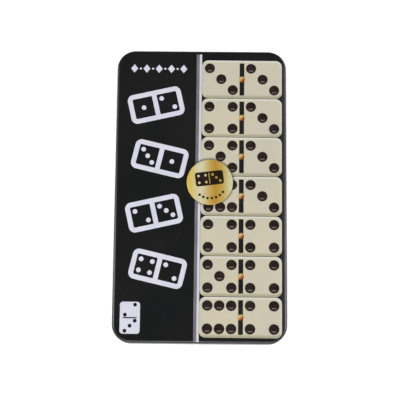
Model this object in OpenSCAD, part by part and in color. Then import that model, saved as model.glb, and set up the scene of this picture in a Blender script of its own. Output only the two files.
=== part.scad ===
/* [Dominoes] */
// Length of one domino
tile_l = 50; // [40:0.5:60]
// Width of one domino
tile_w = 25; // [20:0.25:30]
// Thickness of one domino
tile_t = 10; // [7:0.5:13]
// Radius of a domino's four upright corners
tile_corner_r = 3; // [2:0.1:4]
// Rounding of a domino's top and bottom edges
tile_edge_r = 0.8; // [0.4:0.1:1.4]
// Play round each domino in its well
tile_gap = 0.25; // [0.1:0.05:0.5]
// Diameter of a sunk pip
pip_d = 6; // [4:0.1:6.5]
// Depth of a sunk pip
pip_depth = 0.9; // [0.4:0.1:1.5]
// Distance between neighbouring pips
pip_pitch = 7.2; // [6.6:0.1:8]
// Width of the groove across the middle
bar_w = 2.4; // [1.4:0.1:3]
// Length of the groove across the middle
bar_l = 20; // [14:0.5:22]
// Depth of the groove across the middle
bar_depth = 0.6; // [0.3:0.1:1.2]
// Diameter of the spinner pin's head
pin_head_d = 3.6; // [3:0.1:4.4]
// Height of the pin's head above the domino
pin_rise = 0.35; // [0.2:0.05:0.8]
// Diameter of the pin's shank
pin_shank_d = 2; // [1.2:0.1:2.6]
// Length of the pin's shank
pin_shank_l = 5; // [3:0.5:6]
// Play round the shank in its bore
pin_fit = 0.02; // [0.01:0.01:0.08]
// Play between a pin's head and the domino above it
stack_gap = 0.05; // [0.02:0.01:0.3]

/* [Tray] */
// Thickness of the formed plastic sheet
tray_sheet = 0.5; // [0.3:0.05:0.8]
// Width of the rib between the two wells
rib_w = 2; // [1.6:0.1:6]
// Width of the shelf at each end of the wells
tray_end = 3.5; // [2:0.1:6]
// Height of the tray
tray_h = 14; // [8:0.5:18]

/* [Tin] */
// Thickness of the tin sheet
sheet = 0.3; // [0.2:0.05:0.4]
// Thickness of the curl round the base's rim
rim_curl_d = 1.4; // [1:0.1:1.8]
// Thickness of the curl round the lid's lower edge
lid_hem_d = 1.2; // [0.9:0.1:1.6]
// Play between the tray and the base's rim
tray_gap = 0.1; // [0.05:0.05:0.4]
// Least play between the tray and the wall in the corners
corner_gap = 0.3; // [0.1:0.05:0.4]
// Play between the lid's hem and the base's wall
lid_gap = 0.3; // [0.2:0.05:0.5]
// Space above the top dominoes
headroom = 1; // [0.6:0.1:4]
// Play under the lid, above the rim and above the stop bead
rest_gap = 0.3; // [0.1:0.05:0.5]
// Depth of the lid's skirt
lid_skirt = 12; // [8:0.5:14]
// Rounding of the lid's top edge
lid_edge_r = 2; // [1:0.1:3]
// Rounding of the base's bottom edge
base_edge_r = 1.2; // [0.8:0.1:1.4]
// Width of the foot ring
foot_w = 1.5; // [1:0.1:3]
// Height of the bottom panel above the foot ring
foot_rise = 0.5; // [0.3:0.05:1]
// Radius of the stop bead round the base
bead_r = 1.1; // [0.8:0.1:1.4]

/* [Picture on the lid] */
// Height of the embossed picture tiles
pad_t = 0.5; // [0.3:0.05:1]
// Rounding of their top edges
pad_edge_r = 0.35; // [0.1:0.05:0.4]
// Radius of their corners
pad_corner_r = 4; // [2:0.1:5]
// Place of their left edge, from the middle of the lid
pad_left = 0; // [-4:0.1:1]
// Plain margin to the right of them
pad_margin = 3.2; // [2.4:0.1:6]
// Plain margin beyond the first one
pad_margin_top = 6.5; // [3.5:0.1:9]
// Plain margin beyond the last one
pad_margin_bottom = 3.65; // [3.5:0.05:9]
// Gap between two of them
pad_gap = 0.25; // [0.2:0.05:1]
// Distance from a tile's middle to the middle of each half
half_offset = 13.4; // [12.5:0.1:14]
// Diameter of a pictured pip
dish_d = 6.6; // [5:0.1:6.7]
// Depth of the dish in a pictured pip
dish_depth = 0.4; // [0.1:0.05:0.45]
// Flat rim round that dish
dish_rim = 0.1; // [0.05:0.05:0.3]
// Distance between neighbouring pictured pips, along the tile
dish_pitch = 7.5; // [7:0.1:8]
// Distance between neighbouring pictured pips, across the tile
dish_pitch_y = 7.25; // [6.8:0.05:8]
// Width of the pictured middle bar
pad_bar_w = 3; // [1.4:0.1:3.4]
// Length of the pictured middle bar
pad_bar_l = 21.6; // [14:0.1:22]
// How far the pictured middle bar lies below the tile's face
pad_bar_sink = 0.2; // [0.05:0.05:0.25]
// Diameter of the pictured stud
stud_d = 3.9; // [3:0.1:4.4]
// Height of the stud above the tile's face
stud_rise = 0.3; // [0.1:0.05:0.6]
// Play between the tiles and what is set into them
inlay_gap = 0.02; // [0.01:0.01:0.05]
// Thickness of the flat printed parts
ink_t = 0.1; // [0.05:0.01:0.2]
// How far the whole print is turned clockwise on the lid
print_turn = 0.2; // [0:0.05:1]

/* [Divider stripe on the lid] */
// Width of the grey half
grey_w = 2; // [1:0.1:3]
// Width of the white half
white_w = 1.5; // [1:0.1:3]
// Gap between the stripe and the picture tiles
stripe_gap = 0.1; // [0.1:0.1:1]
// Gap between the stripe's upper end and the lid's rounded edge
stripe_end = 0.6; // [0.1:0.1:2]
// How far its lower end bends down over the lid's rounded edge, in degrees
stripe_bend = 30; // [10:5:70]

/* [Left panel of the lid] */
// Place of the panel's middle line
panel_x = -28; // [-29:0.1:-27]
// Length of an outlined domino
motif_l = 35; // [28:0.5:36]
// Width of an outlined domino
motif_w = 19.5; // [14:0.5:20]
// Corner radius of an outlined domino
motif_r = 4; // [3.4:0.1:6]
// Line width of an outlined domino
motif_line = 3.1; // [1.2:0.1:3.2]
// Diameter of its pips
motif_pip_d = 3; // [2:0.1:3.6]
// Distance between its pips
motif_pip_pitch = 3.6; // [3.4:0.1:4.2]
// Distance of the first outlined domino's middle from the lid's upper edge
motif_in = 37; // [35:0.5:41]
// Distance from one outlined domino to the next
motif_pitch = 35.5; // [32:0.5:36]
// Tilt of the outlined dominoes, every other one the other way
motif_tilt = 13; // [4:1:18]
// Sideways step of the outlined dominoes
motif_step = 1.5; // [0:0.5:3]
// Distance of the row of lozenges from the lid's upper edge
row_in = 12.5; // [9:0.5:15]
// Distance from one lozenge to the next
row_pitch = 8; // [7:0.5:9]
// Width of a lozenge
lozenge_w = 4.6; // [2:0.1:5]
// Height of a lozenge
lozenge_h = 5.6; // [3:0.1:7]
// Diameter of the dots between the lozenges
row_dot_d = 1.4; // [0.8:0.1:1.8]
// Distance of the small badge's middle from the lid's left edge
badge_in = 11.7; // [10:0.1:14]
// Distance of the small badge's middle from the lid's lower edge
badge_up = 15.5; // [15:0.5:21]
// Width of the small badge
badge_w = 12.6; // [9:0.1:14]
// Length of the small badge
badge_l = 20; // [18:0.5:23]
// Corner radius of the small badge
badge_r = 2; // [1:0.1:3]
// Diameter of the badge's round holes
badge_pip_d = 2.4; // [1.5:0.1:2.6]

/* [Seal on the lid] */
// Diameter of the gold seal
seal_d = 29.4; // [26:0.1:32]
// Height of the gold seal
seal_t = 0.75; // [0.6:0.05:1.2]
// Rounding of its edge
seal_edge_r = 0.3; // [0.1:0.05:0.5]
// Place of its middle across the lid
seal_x = 5.8; // [4:0.1:8]
// Place of its middle along the lid
seal_y = 7.5; // [4:0.1:12]
// Gap between the seal and the picture round it
seal_gap = 0.1; // [0.05:0.05:0.4]
// How far the figure on the seal is turned anticlockwise
seal_turn = 7.5; // [0:0.5:20]
// Length of the little domino on the seal
crest_l = 18; // [14:0.5:20]
// Width of the little domino on the seal
crest_w = 9; // [8:0.5:10]
// Place of the little domino above the seal's middle
crest_y = 2.4; // [1:0.1:3]
// Diameter of its pips
crest_pip_d = 1.7; // [1:0.1:1.9]
// Width of the small lozenges under it
bead_w = 2; // [1:0.1:2.2]
// Distance of the small lozenges from the seal's middle
bead_ring_r = 10.6; // [9:0.1:11.6]

/* [Hidden] */
$fn = 48;
// Facets on shallow domes and dishes
FINE = 200;
// How far a cut runs past the face that it opens
CUT = 1;
// How far a bent piece laps into the flat one that it goes on from
LAP = 0.2;

// The whole double-six set, low numbers first, as [high half, low half]
SET = [for (low = [0:6]) for (high = [low:6]) [high, low]];
FIRST_PICTURED = 18;
ROWS = 7;

// Which way each domino goes into the tray: column, layer and row
function tile_column(i) = (i < 7 || (i >= 14 && i < 18) || i >= 25) ? -1 : 1;
function tile_layer(i) = i < 14 ? 0 : 1;
function tile_row(i) = i < 14 ? i % 7 : i < 18 ? i - 14 : i < 25 ? i - 18 : i - 21;
function tile_name(i) = str("domino_", SET[i][0], "_", SET[i][1]);

// Rounds down to a hundredth of a millimetre
function hundredth(size) = floor(100 * size) / 100;

// Wells and tray
row_pitch_y = tile_w + tile_gap;
well_w = tile_l + 2 * tile_gap;
well_l = ROWS * row_pitch_y + tile_gap;
well_r = tile_corner_r + tile_gap;
well_x = (rib_w + well_w) / 2;
tray_w = 2 * well_w + rib_w + 2 * tray_sheet;
tray_l = well_l + 2 * tray_end;
tray_r = well_r + tray_end;

// Tin, from the tray outwards; the corner radius is the largest that clears the tray's corners
tray_room = tray_gap + rim_curl_d - sheet;
base_in_r = hundredth(tray_r + (sqrt(2) * tray_room - corner_gap) / (sqrt(2) - 1));
base_r = base_in_r + sheet;
base_w = tray_w + 2 * tray_room + 2 * sheet;
base_l = tray_l + 2 * tray_room + 2 * sheet;
lid_r = base_r + lid_gap + lid_hem_d;
lid_w = base_w + 2 * (lid_gap + lid_hem_d);
lid_l = base_l + 2 * (lid_gap + lid_hem_d);

// Heights, from the foot ring upwards
floor_z = foot_rise + sheet;
layer_h = tile_t + pin_rise + stack_gap;
function tile_z(layer) = floor_z + tray_sheet + layer * layer_h;
contents_top = tile_z(1) + tile_t + pin_rise;
lid_top = contents_top + headroom + sheet;
rim_top = lid_top - sheet - rest_gap;
lid_bottom = lid_top - lid_skirt;
bead_z = lid_bottom - rest_gap - bead_r;

// Picture tiles on the lid
pad_w = lid_w / 2 - pad_margin - pad_left;
pad_l = hundredth((lid_l - pad_margin_top - pad_margin_bottom - (ROWS - 1) * pad_gap) / ROWS);
pad_x = pad_left + pad_w / 2;
pad_pitch = pad_l + pad_gap;
function pad_y(row) = lid_l / 2 - pad_margin_top - pad_l / 2 - row * pad_pitch;
stripe_x = pad_left - stripe_gap;
stripe_edge = lid_l / 2 - lid_edge_r;
// The turned stripe's bent end keeps this much clear of the lid's edge
stripe_lift = inlay_gap + (stripe_gap + white_w + grey_w) * sin(print_turn);

IVORY = [0.9, 0.87, 0.76];
INK = [0.12, 0.1, 0.1];
TIN_BLACK = [0.11, 0.11, 0.12];
PANEL_WHITE = [0.87, 0.86, 0.92];
BRASS = [0.8, 0.62, 0.25];
GOLD = [0.85, 0.68, 0.3];

// Places of n pips on one half, in steps of the pips' distance
function pips(n) =
    n == 6 ? [for (x = [-1:1]) for (y = [-1, 1]) [x, y]]
    : concat(n % 2 == 1 ? [[0, 0]] : [],
             n >= 2 ? [[-1, 1], [1, -1]] : [],
             n >= 4 ? [[1, 1], [-1, -1]] : []);

// Puts the children at every pip of a domino, with a step along it and one across it
module at_pips(numbers, offset_x, step, step_y) {
    for (side = [0, 1])
        for (p = pips(numbers[side]))
            translate([(2 * side - 1) * offset_x + p[0] * step, p[1] * step_y, 0]) children();
}

// Flat rectangle with round corners
module rounded_rect(w, l, r) {
    square([w - 2 * r, l], center = true);
    square([w, l - 2 * r], center = true);
    for (x = [-1, 1]) for (y = [-1, 1]) translate([x * (w / 2 - r), y * (l / 2 - r)]) circle(r);
}

// Sweeps a profile round a rounded rectangle; its x counts from the corner centres outwards
module edge_sweep(w, l, r) {
    for (turn = [0:3]) {
        across = (turn % 2 == 0 ? w : l) / 2 - r;
        along = (turn % 2 == 0 ? l : w) / 2 - r;
        rotate([0, 0, 90 * turn]) {
            translate([across, along, 0]) rotate([90, 0, 0]) linear_extrude(2 * along) children();
            translate([across, along, 0]) rotate_extrude(angle = 90) children();
        }
    }
}

// The flat middle that closes a swept profile
module middle_plate(w, l, r, z, t) {
    translate([r - w / 2, r - l / 2, z]) cube([w - 2 * r, l - 2 * r, t]);
}

// Ring of sheet seen in profile
module curl(outer_r) {
    difference() {
        circle(outer_r);
        circle(outer_r - sheet);
    }
}

// Profile from x0 to x1 and from 0 to h with its lower outer corner rounded
module soft_corner(x0, x1, h, r) {
    translate([x0, 0]) square([x1 - x0 - r, h]);
    translate([x0, r]) square([x1 - x0, h - r]);
    translate([x1 - r, r]) circle(r);
}

// Sheet seen in profile that runs out flat from x0, bends and rises to h at x1
module bent_sheet(x0, x1, h, r) {
    difference() {
        soft_corner(x0, x1, h, r);
        translate([0, sheet]) soft_corner(x0 - CUT, x1 - sheet, h, r - sheet);
    }
}

// Round edge seen in profile: its top is at height t, and nothing of it lies below 0
module round_edge(t, r) {
    translate([0, t - r]) intersection() {
        circle(r);
        translate([-2 * r, r - t]) square([4 * r, t + r]);
    }
}

// Block with round corners whose top edges, and bottom edges if asked, are rounded
module soft_block(w, l, t, corner_r, edge_r, bottom_too) {
    low = bottom_too ? edge_r : 0;
    edge_sweep(w, l, corner_r) {
        union() {
            square([corner_r - edge_r, t]);
            translate([0, low]) square([corner_r, t - edge_r - low]);
            translate([corner_r - edge_r, 0]) round_edge(t, edge_r);
            if (bottom_too) translate([corner_r - edge_r, edge_r]) circle(edge_r);
        }
    }
    middle_plate(w, l, corner_r, 0, t);
}

// Shallow dome that stands on the plane z = 0
module dome(d, h) {
    ball_r = (d * d / 4 + h * h) / (2 * h);
    rotate_extrude() intersection() {
        translate([0, h - ball_r]) circle(ball_r, $fn = FINE);
        square([d / 2, h]);
    }
}

// Ball that sinks a round dish of this width and depth below z = 0
module dish_cut(d, depth) {
    ball_r = (d * d / 4 + depth * depth) / (2 * depth);
    translate([0, 0, ball_r - depth]) sphere(ball_r);
}

module base() {
    foot_in = base_r - base_edge_r - foot_w;
    rim_r = rim_curl_d / 2;
    color(TIN_BLACK) {
        edge_sweep(base_w, base_l, base_r) {
            union() {
                translate([0, foot_rise]) square([foot_in, sheet]);
                translate([foot_in - sheet, 0]) square([sheet, floor_z]);
                bent_sheet(foot_in - sheet, base_r, bead_z - bead_r + sheet / 2, base_edge_r);
                translate([base_in_r, bead_z]) intersection() {
                    curl(bead_r);
                    translate([0, -bead_r]) square([bead_r, 2 * bead_r]);
                }
                translate([base_in_r, bead_z + bead_r - sheet / 2])
                    square([sheet, rim_top - rim_r - bead_z - bead_r + sheet / 2]);
                translate([base_r - rim_r, rim_top - rim_r]) difference() {
                    curl(rim_r);
                    translate([0, -rim_r]) square([rim_r - sheet, rim_r]);
                }
            }
        }
        middle_plate(base_w, base_l, base_r, foot_rise, sheet);
    }
}

module lid() {
    hem_r = lid_hem_d / 2;
    color(TIN_BLACK) {
        edge_sweep(lid_w, lid_l, lid_r) {
            union() {
                translate([0, lid_top]) mirror([0, 1])
                    bent_sheet(0, lid_r, lid_skirt - hem_r, lid_edge_r);
                translate([lid_r - hem_r, lid_bottom + hem_r]) difference() {
                    curl(hem_r);
                    square([hem_r - sheet, hem_r]);
                }
            }
        }
        middle_plate(lid_w, lid_l, lid_r, lid_top - sheet, sheet);
    }
}

// The two wells seen from above, grown by the given amount
module wells(grow) {
    for (side = [-1, 1])
        translate([side * well_x, 0])
            rounded_rect(well_w + 2 * grow, well_l + 2 * grow, well_r + grow);
}

module tray() {
    color(TIN_BLACK) translate([0, 0, floor_z]) difference() {
        linear_extrude(tray_h) rounded_rect(tray_w, tray_l, tray_r);
        translate([0, 0, tray_sheet]) linear_extrude(tray_h) wells(0);
        translate([0, 0, -CUT]) linear_extrude(tray_h - tray_sheet + CUT) difference() {
            rounded_rect(tray_w - 2 * tray_sheet, tray_l - 2 * tray_sheet, tray_r - tray_sheet);
            wells(tray_sheet);
        }
    }
}

// Moves the children onto domino number i in the tray
module at_tile(i) {
    translate([
        tile_column(i) * well_x,
        ((ROWS - 1) / 2 - tile_row(i)) * row_pitch_y,
        tile_z(tile_layer(i))]) children();
}

module domino(i) {
    color(IVORY) at_tile(i) difference() {
        soft_block(tile_l, tile_w, tile_t, tile_corner_r, tile_edge_r, true);
        translate([0, 0, tile_t]) at_pips(SET[i], tile_l / 4, pip_pitch, pip_pitch)
            dish_cut(pip_d, pip_depth);
        translate([-bar_w / 2, -bar_l / 2, tile_t - bar_depth]) cube([bar_w, bar_l, bar_depth + CUT]);
        translate([0, 0, tile_t - pin_shank_l - pin_fit])
            cylinder(h = pin_shank_l + CUT, r = pin_shank_d / 2 + pin_fit);
    }
}

module spinner_pins() {
    color(BRASS) for (i = [0:len(SET) - 1]) at_tile(i) translate([0, 0, tile_t]) {
        dome(pin_head_d, pin_rise);
        translate([0, 0, -pin_shank_l]) cylinder(h = pin_shank_l, d = pin_shank_d);
    }
}

// Moves the children onto the lid's face, turned as its print is
module on_print() {
    translate([0, 0, lid_top]) rotate([0, 0, -print_turn]) children();
}

// Moves the children onto picture tile number row of the print
module at_pad(row) {
    translate([pad_x, pad_y(row), 0]) children();
}

// Puts the children at every pip of picture tile number row
module at_pictured_pips(row) {
    at_pips(SET[FIRST_PICTURED + row], half_offset, dish_pitch, dish_pitch_y) children();
}

// The round space that the seal takes out of the picture
module seal_space() {
    translate([seal_x, seal_y, -CUT])
        cylinder(h = pad_t + 2 * CUT, r = seal_d / 2 + seal_gap);
}

module lid_tiles() {
    color(IVORY) on_print() difference() {
        for (row = [0:ROWS - 1]) at_pad(row) difference() {
            soft_block(pad_w, pad_l, pad_t, pad_corner_r, pad_edge_r, false);
            translate([0, 0, -CUT]) linear_extrude(pad_t + 2 * CUT) {
                at_pictured_pips(row) circle(dish_d / 2 + inlay_gap);
                circle(stud_d / 2 + inlay_gap);
                square([pad_bar_w + 2 * inlay_gap, pad_bar_l + 2 * inlay_gap], center = true);
            }
        }
        seal_space();
    }
}

// Black inlays seen from above, cut back where the seal covers them
module pip_plan(row) {
    difference() {
        translate([pad_x, pad_y(row)]) at_pictured_pips(row) circle(d = dish_d);
        translate([seal_x, seal_y]) circle(seal_d / 2 + seal_gap);
    }
}

module lid_pips() {
    color(INK) on_print() for (row = [0:ROWS - 1]) difference() {
        linear_extrude(pad_t) pip_plan(row);
        at_pad(row) translate([0, 0, pad_t]) at_pictured_pips(row)
            dish_cut(dish_d - 2 * dish_rim, dish_depth, $fn = FINE);
    }
}

module lid_bars() {
    color(INK) on_print() for (row = [0:ROWS - 1]) at_pad(row)
        linear_extrude(pad_t - pad_bar_sink) difference() {
            square([pad_bar_w, pad_bar_l], center = true);
            circle(stud_d / 2 + inlay_gap);
        }
}

module lid_studs() {
    color(BRASS) on_print() for (row = [0:ROWS - 1]) at_pad(row) {
        cylinder(h = pad_t, d = stud_d);
        translate([0, 0, pad_t]) dome(stud_d, stud_rise);
    }
}

// The stripe seen from its side: flat on the lid, and bent over the rounded edge at its lower end
module stripe_side() {
    reach = 2 * lid_edge_r;
    translate([-stripe_edge, 0]) square([2 * stripe_edge - stripe_end, ink_t]);
    translate([-stripe_edge, -lid_edge_r]) intersection() {
        difference() {
            circle(lid_edge_r + ink_t);
            circle(lid_edge_r + stripe_lift);
        }
        polygon([[0, 0], [LAP, 0], [LAP, reach], [-reach * tan(stripe_bend), reach]]);
    }
}

// One half of the stripe, between two distances left of its right edge
module stripe(from, to) {
    on_print() difference() {
        translate([stripe_x - to, 0, 0]) rotate([90, 0, 90]) linear_extrude(to - from) stripe_side();
        seal_space();
    }
}

module stripe_white() {
    color(PANEL_WHITE) stripe(0, white_w);
}

module stripe_grey() {
    color([0.5, 0.5, 0.54]) stripe(white_w, white_w + grey_w);
}

// Outlined domino drawn flat, with its middle line and pips
module motif(numbers) {
    difference() {
        rounded_rect(motif_l, motif_w, motif_r);
        difference() {
            rounded_rect(motif_l - 2 * motif_line, motif_w - 2 * motif_line, motif_r - motif_line);
            square([motif_line, motif_w], center = true);
        }
    }
    at_pips(numbers, (motif_l - motif_line) / 4, motif_pip_pitch, motif_pip_pitch)
        circle(d = motif_pip_d);
}

module panel_motifs() {
    numbers = [[1, 2], [3, 1], [2, 3], [4, 2]];
    color(PANEL_WHITE) on_print() for (k = [0:3]) {
        side = 1 - 2 * (k % 2);
        translate([panel_x - side * motif_step, lid_l / 2 - motif_in - k * motif_pitch, 0])
            rotate([0, 0, side * motif_tilt]) linear_extrude(ink_t) motif(numbers[k]);
    }
}

module panel_row() {
    color(PANEL_WHITE) on_print() translate([panel_x, lid_l / 2 - row_in, 0]) linear_extrude(ink_t) {
        for (k = [-2:2]) translate([k * row_pitch, 0]) polygon([
            [0, lozenge_h / 2], [lozenge_w / 2, 0], [0, -lozenge_h / 2], [-lozenge_w / 2, 0]]);
        for (k = [-2:1]) translate([(k + 0.5) * row_pitch, 0]) circle(d = row_dot_d);
    }
}

module panel_badge() {
    step = badge_w / 4;
    color(PANEL_WHITE) on_print() translate([badge_in - lid_w / 2, badge_up - lid_l / 2, 0])
        linear_extrude(ink_t) difference() {
            rounded_rect(badge_w, badge_l, badge_r);
            rotate(90) at_pips([3, 2], badge_l / 4, step, step) circle(d = badge_pip_d);
            square([badge_w - 2 * badge_r, badge_pip_d / 3], center = true);
        }
}

module seal() {
    color(GOLD) on_print() translate([seal_x, seal_y, 0]) rotate_extrude() {
        square([seal_d / 2 - seal_edge_r, seal_t]);
        square([seal_d / 2, seal_t - seal_edge_r]);
        translate([seal_d / 2 - seal_edge_r, 0]) round_edge(seal_t, seal_edge_r);
    }
}

module seal_crest() {
    color(INK) on_print() translate([seal_x, seal_y, seal_t]) rotate(seal_turn) linear_extrude(ink_t) {
        translate([0, crest_y]) difference() {
            rounded_rect(crest_l, crest_w, crest_w / 6);
            at_pips([4, 3], crest_l / 4, crest_w / 4, crest_w / 4) circle(d = crest_pip_d);
            square([crest_pip_d / 3, crest_w * 0.8], center = true);
        }
        for (k = [-3:3]) rotate(k * 15) translate([0, -bead_ring_r]) polygon([
            [0, bead_w / 2], [bead_w / 2, 0], [0, -bead_w / 2], [-bead_w / 2, 0]]);
    }
}

base();
lid();
tray();
spinner_pins();
lid_tiles();
lid_pips();
lid_bars();
lid_studs();
stripe_grey();
stripe_white();
panel_motifs();
panel_row();
panel_badge();
seal();
seal_crest();
for (i = [0:len(SET) - 1]) domino(i);
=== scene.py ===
"""Looks of a flat black tin box that holds a set of dominoes.

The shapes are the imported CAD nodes, left as they are. This script gives every node a finish made
of shader nodes, and adds the floor, the studio light and the camera. Lengths in the tables are in
millimetres, as in the CAD, and every pattern is placed on Object coordinates, in metres.
"""

import math

import bpy
from mathutils import Matrix, Vector


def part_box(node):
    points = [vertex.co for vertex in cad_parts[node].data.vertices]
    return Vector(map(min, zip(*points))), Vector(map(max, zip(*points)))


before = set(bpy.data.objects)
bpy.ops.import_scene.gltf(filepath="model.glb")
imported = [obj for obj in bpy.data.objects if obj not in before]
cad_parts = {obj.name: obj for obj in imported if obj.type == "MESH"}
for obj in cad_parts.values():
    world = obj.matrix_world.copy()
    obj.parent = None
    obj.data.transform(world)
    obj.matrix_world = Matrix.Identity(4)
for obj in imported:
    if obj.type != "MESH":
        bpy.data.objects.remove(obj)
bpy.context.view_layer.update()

MM = 0.001

# The camera, as the outline of the lid in the photograph gives it.
CAMERA_LENS = 99.22
CAMERA_SENSOR = 36.0
CAMERA_PLACE = (0.003054, -0.132113, 0.714136)
CAMERA_TURN = (10.493, 0.279, 0.482)

# The dominoes in the box: half a tile's size, its columns, rows and tops, in millimetres.
DOMINO_HALF = (25.0, 12.5)
DOMINO_CORNER = 3.0
DOMINO_COLUMN = 26.25
DOMINO_ROW_PITCH = 25.25
DOMINO_TOPS = (11.3, 21.7)

# The tiles printed on the lid, in millimetres.
PRINT_HALF = (25.9, 12.735)
PRINT_CORNER = 4.0
PRINT_X = 25.9
PRINT_ROW_Y = 75.765
PRINT_ROW_PITCH = 25.72
PRINT_HALF_CENTRE = 13.4
PRINT_PIP_PITCH = (7.5, 7.25)
PRINT_PIP_R = 3.3
PRINT_TURN = 0.2  # degrees, clockwise

# The light printed in each pip: a bent line under its middle, as shares of its radius.
PIP_SMILE_Y = -0.5
PIP_SMILE_BEND = 0.75
PIP_SMILE_BUMP = 0.12
PIP_SMILE_WIDTH = 0.1

# The tin's two shells, in millimetres, and a box inside each, in metres, that tells the bare inner
# side of the sheet from the lacquered outer one.
LID_HALF = (55.0, 95.0)
LID_CORNER = 11.92
LID_CORE = ((-0.045, -0.085, 0.0), (0.045, 0.085, 0.015))
BASE_HALF = (53.5, 93.5)
BASE_CORNER = 10.42
BASE_CORE = ((-0.045, -0.085, 0.008), (0.045, 0.085, 0.01))
RIM_BAND = 1.6

# The lid's right edge, where a painted sheen lightens the lacquer: from which X, and from which
# height up.
SHEEN_FROM = 49.5
SHEEN_FOOT = 19.0
SHEEN_TOP = 22.0

# The floor's half width in metres, and how far it glows by itself, seen straight on and in a
# mirror or glass.
FLOOR_HALF = 6.0
FLOOR_GLOW = 0.56
FLOOR_GLOW_MIRRORED = 0.22

# How much light falls from overhead and behind, as a share of that from the front.
DIM_OVERHEAD = 0.08

# The softboxes: name, place and size in metres, and power in watts.
SOFTBOXES = (
    ("front", (-0.2, -1.5, 1.35), (1.4, 0.5), 11.5),
    ("right", (1.35, 0.0, 0.85), (0.5, 1.2), 9.0),
    ("left", (-1.35, 0.0, 0.85), (0.5, 1.2), 9.0),
)


def srgb(red, green, blue):
    """A screen colour from 0 to 255 as the linear colour that a shader takes."""

    def straight(value):
        value /= 255
        return value / 12.92 if value <= 0.04045 else ((value + 0.055) / 1.055) ** 2.4

    return (straight(red), straight(green), straight(blue), 1.0)


class Graph:
    """One node tree, with short calls for the nodes that the finishes use most."""

    def __init__(self, tree):
        self.tree = tree

    def feed(self, socket, value):
        """Links a socket to another, or sets its value."""
        if isinstance(value, bpy.types.NodeSocket):
            self.tree.links.new(value, socket)
        else:
            socket.default_value = value

    def node(self, kind, settings=None, **sockets):
        """A new shader node. A socket's name has its spaces written as underscores."""
        made = self.tree.nodes.new("ShaderNode" + kind)
        for name, value in (settings or {}).items():
            setattr(made, name, value)
        for name, value in sockets.items():
            self.feed(made.inputs[name.replace("_", " ")], value)
        return made

    def group(self, tree, **sockets):
        """A copy of a shared effect, with its own values."""
        made = self.node("Group", {"node_tree": tree})
        for name, value in sockets.items():
            self.feed(made.inputs[name.replace("_", " ")], value)
        return made.outputs

    def maths(self, operation, *values):
        made = self.node("Math", {"operation": operation})
        for socket, value in zip(made.inputs, values):
            self.feed(socket, value)
        return made.outputs[0]

    def vector(self, operation, *values):
        made = self.node("VectorMath", {"operation": operation})
        for socket, value in zip(made.inputs, values):
            self.feed(socket, value)
        number = operation in ("LENGTH", "DOT_PRODUCT", "DISTANCE")
        return made.outputs["Value" if number else "Vector"]

    def split(self, vector):
        return self.node("SeparateXYZ", Vector=vector).outputs

    def join(self, x=0.0, y=0.0, z=0.0):
        return self.node("CombineXYZ", X=x, Y=y, Z=z).outputs["Vector"]

    def fade(self, value, start, end, low=0.0, high=1.0):
        """Goes smoothly from low to high as value goes from start to end."""
        made = self.node(
            "MapRange",
            {"interpolation_type": "SMOOTHSTEP"},
            Value=value,
            From_Min=start,
            From_Max=end,
            To_Min=low,
            To_Max=high,
        )
        return made.outputs["Result"]

    def mix(self, share, first, second):
        """The first colour, going to the second as share goes from 0 to 1."""
        made = self.node("Mix", {"data_type": "RGBA"})
        self.feed(made.inputs[0], share)
        self.feed(made.inputs[6], first)
        self.feed(made.inputs[7], second)
        return made.outputs[2]

    def noise(self, place, scale, detail=3.0, roughness=0.5):
        made = self.node(
            "TexNoise", Vector=place, Scale=scale, Detail=detail, Roughness=roughness
        )
        return made.outputs["Fac"]

    def ramp(self, value, stops):
        """A colour ramp through (place, colour) stops."""
        made = self.node("ValToRGB", Fac=value)
        elements = made.color_ramp.elements
        while len(elements) < len(stops):
            elements.new(0.5)
        for element, (place, colour) in zip(elements, stops):
            element.position = place
            element.color = colour
        return made.outputs["Color"]

    def bump(self, height, distance, strength=1.0):
        made = self.node("Bump", Height=height, Distance=distance, Strength=strength)
        return made.outputs["Normal"]


def shared_effect(name, inputs, outputs):
    """A shader node group: its graph, the sockets that it takes from and those that it gives to."""
    tree = bpy.data.node_groups.new(name, "ShaderNodeTree")
    for label, value in inputs.items():
        kind = "NodeSocketVector" if isinstance(value, tuple) else "NodeSocketFloat"
        socket = tree.interface.new_socket(label, in_out="INPUT", socket_type=kind)
        socket.default_value = value
    for label, kind in outputs.items():
        tree.interface.new_socket(label, in_out="OUTPUT", socket_type="NodeSocket" + kind)
    taken = tree.nodes.new("NodeGroupInput").outputs
    given = tree.nodes.new("NodeGroupOutput").inputs
    return Graph(tree), taken, given


def make_rounded_rectangle():
    """How far a point is outside a rounded rectangle, and which way its nearest edge faces."""
    g, take, give = shared_effect(
        "rounded rectangle",
        {"Place": (0.0, 0.0, 0.0), "Half Size": (0.02, 0.01, 0.0), "Corner": 0.003},
        {"Distance": "Float", "Outward": "Vector"},
    )
    flat = g.vector("MULTIPLY", take["Place"], (1.0, 1.0, 0.0))
    corner = g.join(take["Corner"], take["Corner"])
    inner = g.vector("SUBTRACT", take["Half Size"], corner)
    over = g.vector("SUBTRACT", g.vector("ABSOLUTE", flat), inner)
    beyond = g.vector("MAXIMUM", over, (0.0, 0.0, 0.0))
    x, y, _ = g.split(over)
    within = g.maths("MINIMUM", g.maths("MAXIMUM", x, y), 0.0)
    reach = g.maths("ADD", g.vector("LENGTH", beyond), within)
    g.feed(give["Distance"], g.maths("SUBTRACT", reach, take["Corner"]))
    signed = g.vector("MULTIPLY", beyond, g.vector("SIGN", flat))
    g.feed(give["Outward"], g.vector("NORMALIZE", signed))
    return g.tree


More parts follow.
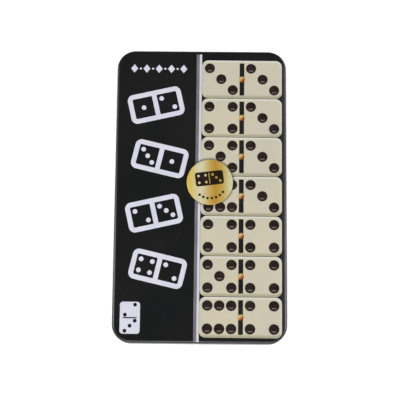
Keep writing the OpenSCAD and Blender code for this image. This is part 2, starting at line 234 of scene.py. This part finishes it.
def make_tile_place():
    """Where a point is on its own tile of a column, from that tile's middle."""
    g, take, give = shared_effect(
        "tile place",
        {"Place": (0.0, 0.0, 0.0), "Middle X": 0.0, "Row Y": 0.0, "Row Pitch": 0.025},
        {"On Tile": "Vector"},
    )
    x, y, z = g.split(take["Place"])
    half = g.maths("MULTIPLY", take["Row Pitch"], 0.5)
    along = g.maths("ADD", g.maths("SUBTRACT", y, take["Row Y"]), half)
    in_row = g.maths("FLOORED_MODULO", along, take["Row Pitch"])
    on_tile = g.join(
        g.maths("SUBTRACT", x, take["Middle X"]), g.maths("SUBTRACT", in_row, half), z
    )
    g.feed(give["On Tile"], on_tile)
    return g.tree


def make_pip_place():
    """Where a point is on its nearest pip place of a tile, from that pip's middle."""
    g, take, give = shared_effect(
        "pip place",
        {
            "On Tile": (0.0, 0.0, 0.0),
            "Half Middle": 0.0125,
            "Pip Pitch": (0.0072, 0.0072, 0.0),
        },
        {"On Pip": "Vector"},
    )
    x, y, _ = g.split(take["On Tile"])
    step_x, step_y, _ = g.split(take["Pip Pitch"])

    def nearest(value, step):
        half = g.maths("MULTIPLY", step, 0.5)
        turned = g.maths("FLOORED_MODULO", g.maths("ADD", value, half), step)
        return g.maths("SUBTRACT", turned, half)

    from_half = g.maths("SUBTRACT", g.maths("ABSOLUTE", x), take["Half Middle"])
    across = g.maths("MULTIPLY", nearest(from_half, step_x), g.maths("SIGN", x))
    g.feed(give["On Pip"], g.join(across, nearest(y, step_y)))
    return g.tree


def make_scratches():
    """Fine hairlines in two directions, as wiping and handling leave them."""
    g, take, give = shared_effect(
        "scratches",
        {"Place": (0.0, 0.0, 0.0), "Scale": 60.0, "Amount": 0.5},
        {"Mask": "Float"},
    )
    limit = g.maths("SUBTRACT", 0.78, g.maths("MULTIPLY", take["Amount"], 0.12))
    lines = []
    for turn, stretch in ((0.42, 34.0), (-1.05, 26.0)):
        spun = g.node("VectorRotate", {"rotation_type": "Z_AXIS"}, Vector=take["Place"], Angle=turn)
        long = g.vector("MULTIPLY", spun.outputs[0], (1.0, stretch, 1.0))
        noise = g.node("TexNoise", Vector=long, Scale=take["Scale"], Detail=1.0)
        made = g.node("MapRange", Value=noise.outputs["Fac"], From_Min=limit, From_Max=0.8)
        lines.append(made.outputs["Result"])
    g.feed(give["Mask"], g.maths("MAXIMUM", lines[0], lines[1]))
    return g.tree


def make_dust():
    """Small pale specks, further apart as the scale falls."""
    g, take, give = shared_effect(
        "dust",
        {"Place": (0.0, 0.0, 0.0), "Scale": 180.0, "Speck": 0.06},
        {"Mask": "Float"},
    )
    cells = g.node("TexVoronoi", Vector=take["Place"], Scale=take["Scale"], Randomness=1.0)
    size = g.maths("MULTIPLY", take["Speck"], g.noise(take["Place"], 90.0, detail=1.0))
    inner = g.maths("MULTIPLY", size, 0.5)
    made = g.node("MapRange", Value=cells.outputs["Distance"], From_Min=size, From_Max=inner)
    g.feed(give["Mask"], made.outputs["Result"])
    return g.tree


def make_ink():
    """Uneven ink: soft clouds for the colour, and a fine skin for the bump."""
    g, take, give = shared_effect(
        "ink",
        {"Place": (0.0, 0.0, 0.0), "Cloud Scale": 60.0, "Grain Scale": 1400.0},
        {"Cloud": "Float", "Grain": "Float"},
    )
    cloud = g.noise(take["Place"], take["Cloud Scale"], detail=4.0, roughness=0.55)
    g.feed(give["Cloud"], g.fade(cloud, 0.32, 0.68))
    g.feed(give["Grain"], g.noise(take["Place"], take["Grain Scale"], detail=2.0))
    return g.tree


def make_ring_shade():
    """The soft shade round a disc: 1 at its rim, fading to 0 over the width."""
    g, take, give = shared_effect(
        "ring shade",
        {"Place": (0.0, 0.0, 0.0), "Middle": (0.0, 0.0, 0.0), "Radius": 0.015, "Width": 0.002},
        {"Mask": "Float"},
    )
    flat = g.vector("SUBTRACT", take["Place"], take["Middle"])
    away = g.vector("LENGTH", g.vector("MULTIPLY", flat, (1.0, 1.0, 0.0)))
    outer = g.maths("ADD", take["Radius"], take["Width"])
    g.feed(give["Mask"], g.fade(away, outer, take["Radius"]))
    return g.tree


def make_inner_skin():
    """1 on the faces of a bent sheet that look at a core box, 0 on those that look away."""
    g, take, give = shared_effect(
        "inner skin",
        {
            "Place": (0.0, 0.0, 0.0),
            "Facing": (0.0, 0.0, 1.0),
            "Core Low": (-0.045, -0.085, 0.008),
            "Core High": (0.045, 0.085, 0.010),
        },
        {"Mask": "Float"},
    )
    held = g.vector("MAXIMUM", take["Place"], take["Core Low"])
    held = g.vector("MINIMUM", held, take["Core High"])
    away = g.vector("NORMALIZE", g.vector("SUBTRACT", take["Place"], held))
    g.feed(give["Mask"], g.fade(g.vector("DOT_PRODUCT", away, take["Facing"]), 0.1, -0.1))
    return g.tree


ROUNDED_RECTANGLE = make_rounded_rectangle()
TILE_PLACE = make_tile_place()
PIP_PLACE = make_pip_place()
SCRATCHES = make_scratches()
DUST = make_dust()
INK = make_ink()
RING_SHADE = make_ring_shade()
INNER_SKIN = make_inner_skin()

seal_low, seal_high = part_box("seal")
SEAL_MIDDLE = tuple((seal_low + seal_high) / 2)
SEAL_R = (seal_high.x - seal_low.x) / 2


def new_finish(name):
    """An empty material: its graph, its place on the piece and the way its surface faces."""
    material = bpy.data.materials.new(name)
    material.use_nodes = True
    material.node_tree.nodes.clear()
    g = Graph(material.node_tree)
    place = g.node("TexCoord").outputs
    return material, g, place["Object"], place["Normal"]


def end_finish(g, **sockets):
    """The shader itself, and the material's output."""
    shader = g.node("BsdfPrincipled", **sockets)
    g.node("OutputMaterial", Surface=shader.outputs["BSDF"])


def in_metres(pair):
    """A flat size in millimetres as a vector in metres."""
    return (pair[0] * MM, pair[1] * MM, 0.0)


def on_printed_tile(g, place):
    """Where a point is on its tile of the lid's picture."""
    turn = math.radians(PRINT_TURN)
    straight = g.node("VectorRotate", {"rotation_type": "Z_AXIS"}, Vector=place, Angle=turn)
    return g.group(
        TILE_PLACE,
        Place=straight.outputs["Vector"],
        Middle_X=PRINT_X * MM,
        Row_Y=PRINT_ROW_Y * MM,
        Row_Pitch=PRINT_ROW_PITCH * MM,
    )["On Tile"]


def black_tin(name, half, corner, core):
    """Glossy black lacquer on tinplate: hairlines, dust, chipped rims, bare metal inside, and a
    painted sheen along the right edge.
    """
    material, g, place, facing = new_finish(name)
    scratch = g.group(SCRATCHES, Place=place, Scale=42.0, Amount=0.55)["Mask"]
    dust = g.group(DUST, Place=place, Scale=150.0, Speck=0.05)["Mask"]
    ink = g.group(INK, Place=place, Cloud_Scale=24.0, Grain_Scale=1100.0)
    lacquer = g.mix(ink["Cloud"], srgb(23, 24, 25), srgb(28, 28, 28))
    lacquer = g.mix(g.maths("MULTIPLY", scratch, 0.10), lacquer, srgb(92, 92, 94))
    lacquer = g.mix(g.maths("MULTIPLY", dust, 0.18), lacquer, srgb(140, 138, 132))

    edge = g.group(
        ROUNDED_RECTANGLE, Place=place, Half_Size=in_metres(half), Corner=corner * MM
    )["Distance"]
    x, _, z = g.split(place)
    # Painted sheen: the lacquer is lightened to grey along the right edge, above the foot height.
    right = g.fade(x, SHEEN_FROM * MM, half[0] * MM)
    painted_sheen = g.maths("MULTIPLY", right, g.fade(z, SHEEN_FOOT * MM, SHEEN_TOP * MM))
    lacquer = g.mix(g.maths("MULTIPLY", painted_sheen, 0.65), lacquer, srgb(70, 71, 74))
    rim = g.fade(edge, -RIM_BAND * MM, 0.0)
    chips = g.fade(g.noise(place, 210.0, detail=4.0, roughness=0.7), 0.70, 0.76)
    worn = g.maths("MULTIPLY", rim, chips)

    inside = g.group(
        INNER_SKIN, Place=place, Facing=facing, Core_Low=core[0], Core_High=core[1]
    )["Mask"]
    rolled = g.noise(g.vector("MULTIPLY", place, (1.0, 26.0, 1.0)), 130.0, detail=3.0)
    plate = g.mix(rolled, srgb(176, 176, 172), srgb(206, 205, 200))
    bare = g.maths("MAXIMUM", inside, g.maths("MULTIPLY", worn, 0.6))
    colour = g.mix(bare, lacquer, plate)

    satin = g.fade(ink["Cloud"], 0.0, 1.0, 0.18, 0.24)
    satin = g.maths("ADD", satin, g.maths("MULTIPLY", scratch, 0.12))
    rough = g.maths("ADD", satin, g.maths("MULTIPLY", dust, 0.3))
    grain = g.maths("MULTIPLY", ink["Grain"], 0.4)
    skin = g.maths("SUBTRACT", grain, g.maths("MULTIPLY", scratch, 0.5))
    end_finish(
        g,
        Base_Color=colour,
        Metallic=bare,
        Roughness=rough,
        Specular_IOR_Level=0.5,
        Normal=g.bump(skin, 0.03 * MM, 0.35),
    )
    return material


def ivory_print():
    """The lid's printed tiles: mottled ivory with a lit upper edge and a dark lower one."""
    material, g, place, _ = new_finish("ivory_print")
    ink = g.group(INK, Place=place, Cloud_Scale=34.0, Grain_Scale=1500.0)
    cream = g.mix(ink["Cloud"], srgb(205, 199, 182), srgb(210, 202, 178))
    freckle = g.fade(g.noise(place, 420.0, detail=2.0), 0.40, 0.66)
    cream = g.mix(g.maths("MULTIPLY", freckle, 0.18), cream, srgb(196, 186, 158))

    on_tile = on_printed_tile(g, place)
    edge = g.group(
        ROUNDED_RECTANGLE,
        Place=on_tile,
        Half_Size=in_metres(PRINT_HALF),
        Corner=PRINT_CORNER * MM,
    )
    to_light = g.vector("DOT_PRODUCT", edge["Outward"], (0.42, 0.91, 0.0))
    to_shade = g.vector("DOT_PRODUCT", edge["Outward"], (0.25, -0.97, 0.0))
    bright = g.fade(edge["Distance"], -1.6 * MM, -0.8 * MM)
    dull = g.fade(edge["Distance"], -2.6 * MM, -0.4 * MM)
    lit = g.maths("MULTIPLY", bright, g.fade(to_light, 0.3, 0.9))
    side = g.maths("MULTIPLY", bright, g.fade(to_light, -0.6, -0.3))
    shade = g.maths("MULTIPLY", dull, g.fade(to_shade, 0.35, 0.95))
    cream = g.mix(g.maths("MULTIPLY", side, 0.3), cream, srgb(222, 221, 214))
    cream = g.mix(g.maths("MULTIPLY", lit, 0.55), cream, srgb(232, 230, 224))
    cream = g.mix(g.maths("MULTIPLY", shade, 0.75), cream, srgb(156, 150, 122))

    left = g.fade(g.split(on_tile)[0], -23.2 * MM, -25.6 * MM)
    cream = g.mix(g.maths("MULTIPLY", left, 0.2), cream, srgb(172, 168, 160))
    halo = g.group(
        RING_SHADE, Place=place, Middle=SEAL_MIDDLE, Radius=SEAL_R, Width=1.9 * MM
    )["Mask"]
    cream = g.mix(g.maths("MULTIPLY", halo, 0.75), cream, srgb(96, 90, 62))
    scratch = g.group(SCRATCHES, Place=place, Scale=50.0, Amount=0.3)["Mask"]
    satin = g.fade(ink["Cloud"], 0.0, 1.0, 0.27, 0.33)
    rough = g.maths("ADD", satin, g.maths("MULTIPLY", scratch, 0.1))
    end_finish(
        g,
        Base_Color=cream,
        Roughness=rough,
        Specular_IOR_Level=0.3,
        Normal=g.bump(ink["Grain"], 0.02 * MM, 0.3),
    )
    return material


def pip_print():
    """The printed pips: warm black, with the pale wavy crescent of light in a hollow."""
    material, g, place, _ = new_finish("pip_print")
    ink = g.group(INK, Place=place, Cloud_Scale=160.0, Grain_Scale=1500.0)
    black = g.mix(ink["Cloud"], srgb(34, 26, 23), srgb(43, 33, 30))
    on_pip = g.group(
        PIP_PLACE,
        On_Tile=on_printed_tile(g, place),
        Half_Middle=PRINT_HALF_CENTRE * MM,
        Pip_Pitch=in_metres(PRINT_PIP_PITCH),
    )["On Pip"]
    share = g.vector("MULTIPLY", on_pip, (1 / (PRINT_PIP_R * MM),) * 3)
    x, y, _ = g.split(share)
    away = g.vector("LENGTH", share)
    rim = g.fade(away, 0.72, 0.98)
    black = g.mix(g.maths("MULTIPLY", rim, 0.5), black, srgb(27, 20, 17))
    bent = g.maths("MULTIPLY_ADD", g.maths("MULTIPLY", x, x), PIP_SMILE_BEND, PIP_SMILE_Y)
    wave = g.fade(g.maths("ABSOLUTE", x), 0.16, 0.0, 0.0, PIP_SMILE_BUMP)
    off = g.maths("ABSOLUTE", g.maths("SUBTRACT", y, g.maths("ADD", bent, wave)))
    ends = g.fade(g.maths("ABSOLUTE", x), 0.48, 0.32)
    smile = g.maths("MULTIPLY", g.fade(off, PIP_SMILE_WIDTH, 0.0), ends)
    black = g.mix(g.maths("MULTIPLY", smile, 0.85), black, srgb(190, 172, 162))
    glow = g.maths("MULTIPLY", g.fade(y, -0.1, -0.5), g.fade(away, 0.95, 0.6))
    black = g.mix(g.maths("MULTIPLY", glow, 0.22), black, srgb(96, 84, 80))
    halo = g.group(
        RING_SHADE, Place=place, Middle=SEAL_MIDDLE, Radius=SEAL_R, Width=1.6 * MM
    )["Mask"]
    black = g.mix(g.maths("MULTIPLY", halo, 0.6), black, srgb(20, 18, 16))
    end_finish(
        g,
        Base_Color=black,
        Roughness=g.fade(ink["Cloud"], 0.0, 1.0, 0.3, 0.36),
        Specular_IOR_Level=0.25,
        Normal=g.bump(ink["Grain"], 0.02 * MM, 0.3),
    )
    return material


def flat_black_print(name, dark, light):
    """Plain black ink with a little show-through where it lies thin."""
    material, g, place, _ = new_finish(name)
    ink = g.group(INK, Place=place, Cloud_Scale=150.0, Grain_Scale=1500.0)
    thin = g.fade(g.noise(place, 900.0, detail=2.0), 0.66, 0.76)
    black = g.mix(ink["Cloud"], dark, light)
    black = g.mix(g.maths("MULTIPLY", thin, 0.25), black, srgb(70, 66, 60))
    end_finish(
        g,
        Base_Color=black,
        Roughness=g.fade(ink["Cloud"], 0.0, 1.0, 0.32, 0.40),
        Specular_IOR_Level=0.25,
        Normal=g.bump(ink["Grain"], 0.02 * MM, 0.3),
    )
    return material


def pale_print(name, low, high):
    """Opaque white or grey ink: faint clouds, pinholes, and hairlines through to the black."""
    material, g, place, _ = new_finish(name)
    ink = g.group(INK, Place=place, Cloud_Scale=90.0, Grain_Scale=1300.0)
    scratch = g.group(SCRATCHES, Place=place, Scale=55.0, Amount=0.35)["Mask"]
    pinhole = g.group(DUST, Place=place, Scale=260.0, Speck=0.07)["Mask"]
    colour = g.mix(ink["Cloud"], low, high)
    colour = g.mix(g.maths("MULTIPLY", scratch, 0.18), colour, srgb(120, 120, 128))
    colour = g.mix(g.maths("MULTIPLY", pinhole, 0.35), colour, srgb(70, 70, 74))
    halo = g.group(
        RING_SHADE, Place=place, Middle=SEAL_MIDDLE, Radius=SEAL_R, Width=1.7 * MM
    )["Mask"]
    colour = g.mix(g.maths("MULTIPLY", halo, 0.7), colour, srgb(80, 78, 70))
    end_finish(
        g,
        Base_Color=colour,
        Roughness=g.fade(ink["Cloud"], 0.0, 1.0, 0.34, 0.42),
        Specular_IOR_Level=0.3,
        Normal=g.bump(ink["Grain"], 0.02 * MM, 0.35),
    )
    return material


def stud_print():
    """The printed brass studs: a highlight at the upper left, going to a brown lower edge."""
    material, g, place, _ = new_finish("stud_print")
    on_tile = on_printed_tile(g, place)
    slope = g.vector("DOT_PRODUCT", on_tile, (-0.62, 0.78, 0.0))
    share = g.fade(slope, -1.95 * MM, 1.95 * MM)
    colour = g.ramp(
        share,
        (
            (0.0, srgb(96, 44, 20)),
            (0.16, srgb(172, 92, 40)),
            (0.38, srgb(214, 146, 66)),
            (0.66, srgb(228, 176, 96)),
            (0.85, srgb(236, 206, 142)),
            (1.0, srgb(206, 176, 112)),
        ),
    )
    spot = g.vector("SUBTRACT", on_tile, (-0.6 * MM, 0.7 * MM, 0.0))
    spot = g.vector("LENGTH", g.vector("MULTIPLY", spot, (1.0, 1.0, 0.0)))
    colour = g.mix(g.fade(spot, 0.9 * MM, 0.2 * MM, 0.0, 0.8), colour, srgb(252, 240, 206))
    scratch = g.group(SCRATCHES, Place=place, Scale=160.0, Amount=0.5)["Mask"]
    end_finish(
        g,
        Base_Color=colour,
        Metallic=0.25,
        Roughness=g.maths("ADD", 0.28, g.maths("MULTIPLY", scratch, 0.15)),
        Normal=g.bump(g.noise(place, 900.0), 0.02 * MM, 0.3),
    )
    return material


def seal_foil():
    """Gold foil with bands of sheen from side to side, over fine turned rings."""
    material, g, place, _ = new_finish("seal_foil")
    from_middle = g.vector("SUBTRACT", place, SEAL_MIDDLE)
    along = g.maths("DIVIDE", g.split(from_middle)[0], 2 * SEAL_R)
    wave = g.maths("MULTIPLY", g.maths("SUBTRACT", g.noise(place, 130.0), 0.5), 0.08)
    share = g.maths("ADD", g.maths("ADD", along, wave), 0.5)
    warm, pale, deep = srgb(247, 216, 103), srgb(241, 236, 194), srgb(209, 158, 52)
    gold, straw = srgb(222, 188, 98), srgb(232, 222, 166)
    left_half = ((0.0, warm), (0.08, warm), (0.26, pale), (0.32, pale), (0.5, gold))
    right_half = ((0.62, deep), (0.78, gold), (0.9, straw), (0.98, pale))
    colour = g.ramp(share, left_half + right_half)
    away = g.vector("LENGTH", g.vector("MULTIPLY", from_middle, (1.0, 1.0, 0.0)))
    rings = g.maths("SINE", g.maths("MULTIPLY", away, 2 * math.pi / (0.32 * MM)))
    rim = g.fade(away, SEAL_R - 0.75 * MM, SEAL_R - 0.25 * MM)
    colour = g.mix(g.maths("MULTIPLY", rim, 0.35), colour, srgb(232, 206, 140))
    mottle = g.noise(place, 520.0, detail=3.0, roughness=0.65)
    colour = g.mix(g.fade(mottle, 0.45, 0.75, 0.0, 0.22), colour, srgb(206, 176, 110))
    scratch = g.group(SCRATCHES, Place=place, Scale=70.0, Amount=0.6)["Mask"]
    height = g.maths("ADD", g.maths("MULTIPLY", rings, 0.3), mottle)
    end_finish(
        g,
        Base_Color=colour,
        Metallic=0.3,
        Roughness=g.maths("ADD", 0.36, g.maths("MULTIPLY", scratch, 0.14)),
        Normal=g.bump(height, 0.012 * MM, 0.35),
    )
    return material


def ivory_resin():
    """The dominoes: polished cream resin with faint marbling, and gloss black in what is sunk."""
    material, g, place, facing = new_finish("ivory_resin")
    ink = g.group(INK, Place=place, Cloud_Scale=46.0, Grain_Scale=1200.0)
    veins = g.noise(g.vector("MULTIPLY", place, (1.0, 2.6, 2.0)), 70.0, detail=6.0, roughness=0.62)
    cream = g.mix(ink["Cloud"], srgb(222, 212, 184), srgb(214, 203, 170))
    cream = g.mix(g.fade(veins, 0.46, 0.62, 0.0, 0.5), cream, srgb(232, 224, 202))

    x, y, z = g.split(place)
    outer = g.group(
        TILE_PLACE,
        Place=g.join(g.maths("ABSOLUTE", x), y, z),
        Middle_X=DOMINO_COLUMN * MM,
        Row_Y=0.0,
        Row_Pitch=DOMINO_ROW_PITCH * MM,
    )["On Tile"]
    edge = g.group(
        ROUNDED_RECTANGLE,
        Place=outer,
        Half_Size=in_metres(DOMINO_HALF),
        Corner=DOMINO_CORNER * MM,
    )["Distance"]
    flat_area = g.maths("LESS_THAN", edge, -1.0 * MM)
    sunk = 0.0
    for top in DOMINO_TOPS:
        below = g.maths("LESS_THAN", z, (top - 0.04) * MM)
        above = g.maths("GREATER_THAN", z, (top - 1.2) * MM)
        sunk = g.maths("MAXIMUM", sunk, g.maths("MULTIPLY", below, above))
    up = g.maths("GREATER_THAN", g.split(facing)[2], 0.05)
    painted = g.maths("MULTIPLY", g.maths("MULTIPLY", sunk, flat_area), up)

    # Darker and warmer within 2.6 mm of each tile's edge.
    edge_tint = g.fade(edge, -2.6 * MM, -0.4 * MM)
    cream = g.mix(g.maths("MULTIPLY", edge_tint, 0.22), cream, srgb(196, 180, 140))
    paint = g.mix(ink["Cloud"], srgb(24, 21, 21), srgb(32, 28, 27))
    scratch = g.group(SCRATCHES, Place=place, Scale=60.0, Amount=0.5)["Mask"]
    rough = g.maths("ADD", 0.2, g.maths("MULTIPLY", scratch, 0.22))
    grain = g.maths("MULTIPLY", ink["Grain"], 0.3)
    height = g.maths("SUBTRACT", grain, g.maths("MULTIPLY", scratch, 0.5))
    end_finish(
        g,
        Base_Color=g.mix(painted, cream, paint),
        Roughness=rough,
        Specular_IOR_Level=0.5,
        Coat_Weight=0.25,
        Coat_Roughness=0.12,
        Normal=g.bump(height, 0.03 * MM, 0.25),
    )
    return material


def polished_brass():
    """The spinner pins: turned brass, a little brown in places and rubbed bright in others."""
    material, g, place, _ = new_finish("polished_brass")
    tarnish = g.fade(g.noise(place, 260.0, detail=4.0, roughness=0.6), 0.42, 0.68)
    colour = g.mix(tarnish, srgb(226, 186, 104), srgb(186, 138, 66))
    scratch = g.group(SCRATCHES, Place=place, Scale=220.0, Amount=0.7)["Mask"]
    satin = g.fade(tarnish, 0.0, 1.0, 0.16, 0.34)
    rough = g.maths("ADD", satin, g.maths("MULTIPLY", scratch, 0.15))
    end_finish(
        g,
        Base_Color=colour,
        Metallic=1.0,
        Roughness=rough,
        Normal=g.bump(scratch, 0.02 * MM, 0.3),
    )
    return material


def tray_plastic():
    """Thin formed plastic: black with a fine pebble grain, soft clouds and a little dust."""
    material, g, place, facing = new_finish("tray_plastic")
    pebble = g.node("TexVoronoi", {"feature": "SMOOTH_F1"}, Vector=place, Scale=1500.0)
    cloud = g.noise(place, 45.0, detail=3.0)
    dust = g.group(DUST, Place=place, Scale=170.0, Speck=0.08)["Mask"]
    colour = g.mix(cloud, srgb(30, 30, 31), srgb(42, 42, 43))
    colour = g.mix(g.maths("MULTIPLY", dust, 0.4), colour, srgb(140, 138, 132))
    end_finish(
        g,
        Base_Color=colour,
        Roughness=g.fade(cloud, 0.3, 0.7, 0.42, 0.55),
        Specular_IOR_Level=0.45,
        Normal=g.bump(pebble.outputs["Distance"], 0.05 * MM, 0.4),
    )
    return material


def dress(node, finish):
    """Puts a finish on a CAD node, in place of the plain one that it was packed with."""
    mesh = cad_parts[node].data
    mesh.materials.clear()
    mesh.materials.append(finish)


def dress_all():
    """Every node's finish."""
    finishes = {
        "base": black_tin("black_tin_base", BASE_HALF, BASE_CORNER, BASE_CORE),
        "lid": black_tin("black_tin_lid", LID_HALF, LID_CORNER, LID_CORE),
        "tray": tray_plastic(),
        "spinner_pins": polished_brass(),
        "lid_tiles": ivory_print(),
        "lid_pips": pip_print(),
        "lid_bars": flat_black_print("bar_print", srgb(24, 27, 27), srgb(32, 34, 33)),
        "lid_studs": stud_print(),
        "stripe_grey": pale_print("grey_print", srgb(112, 112, 119), srgb(122, 122, 130)),
        "stripe_white": pale_print("white_print", srgb(211, 210, 218), srgb(219, 218, 226)),
        "seal": seal_foil(),
        "seal_crest": flat_black_print("crest_print", srgb(30, 22, 12), srgb(44, 32, 16)),
    }
    lavender = pale_print("lavender_print", srgb(216, 215, 230), srgb(224, 223, 236))
    finishes.update({name: lavender for name in ("panel_motifs", "panel_row", "panel_badge")})
    resin = ivory_resin()
    finishes.update({name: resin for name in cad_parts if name.startswith("domino_")})
    for node, finish in finishes.items():
        dress(node, finish)


def floor_glow(g):
    """How far the floor glows: not at all for the light that falls on things."""
    ray = g.node("LightPath").outputs
    straight = g.maths("MULTIPLY", ray["Is Camera Ray"], FLOOR_GLOW)
    mirrored = g.maths("MAXIMUM", ray["Is Glossy Ray"], ray["Is Transmission Ray"])
    return g.maths("MAXIMUM", straight, g.maths("MULTIPLY", mirrored, FLOOR_GLOW_MIRRORED))


def make_floor():
    """A plain pale floor that keeps the box's shadow and is otherwise seen as white."""
    side = FLOOR_HALF
    mesh = bpy.data.meshes.new("floor")
    corners = [(-side, -side, 0), (side, -side, 0), (side, side, 0), (-side, side, 0)]
    mesh.from_pydata(corners, [], [(0, 1, 2, 3)])
    floor = bpy.data.objects.new("floor", mesh)
    bpy.context.scene.collection.objects.link(floor)
    material, g, place, _ = new_finish("pale_floor")
    paper = g.mix(g.noise(place, 6.0), srgb(238, 238, 238), srgb(242, 242, 242))
    shader = g.node("BsdfPrincipled", Base_Color=paper, Roughness=0.9, Specular_IOR_Level=0.1)
    glow = g.node("Emission", Color=(1.0, 1.0, 1.0, 1.0), Strength=floor_glow(g))
    both = g.node("AddShader")
    g.feed(both.inputs[0], shader.outputs["BSDF"])
    g.feed(both.inputs[1], glow.outputs["Emission"])
    g.node("OutputMaterial", Surface=both.outputs["Shader"])
    mesh.materials.append(material)


def make_world():
    """Soft light from the front and the sides, dim overhead and behind, where the lid mirrors."""
    world = bpy.data.worlds.new("studio")
    bpy.context.scene.world = world
    world.use_nodes = True
    world.node_tree.nodes.clear()
    g = Graph(world.node_tree)
    _, far, height = g.split(g.node("TexCoord").outputs["Generated"])
    low = g.fade(height, 0.90, 0.68)
    front = g.fade(far, 0.62, 0.25)
    level = g.fade(g.maths("MULTIPLY", low, front), 0.0, 1.0, DIM_OVERHEAD, 1.0)
    back = g.node("Background", Color=(1.0, 1.0, 1.0, 1.0), Strength=level)
    g.node("OutputWorld", Surface=back.outputs["Background"])


def softbox(name, place, size, power):
    """An area lamp that looks at the middle of the box's foot."""
    lamp = bpy.data.lights.new(name, "AREA")
    lamp.shape = "RECTANGLE"
    lamp.size, lamp.size_y = size
    lamp.energy = power
    made = bpy.data.objects.new(name, lamp)
    bpy.context.scene.collection.objects.link(made)
    made.location = place
    made.rotation_euler = Vector(place).to_track_quat("Z", "Y").to_euler()


def make_camera():
    data = bpy.data.cameras.new("camera")
    data.lens = CAMERA_LENS
    data.sensor_width = CAMERA_SENSOR
    data.clip_start, data.clip_end = 0.01, 50.0
    camera = bpy.data.objects.new("camera", data)
    bpy.context.scene.collection.objects.link(camera)
    turn = Matrix.Identity(4)
    for axis, angle in zip("XYZ", CAMERA_TURN):
        turn = turn @ Matrix.Rotation(math.radians(angle), 4, axis)
    camera.matrix_world = Matrix.Translation(CAMERA_PLACE) @ turn
    bpy.context.scene.camera = camera


make_camera()
dress_all()
make_floor()
make_world()
for name, place, size, power in SOFTBOXES:
    softbox(name, place, size, power)
bpy.context.scene.view_settings.view_transform = "Standard"
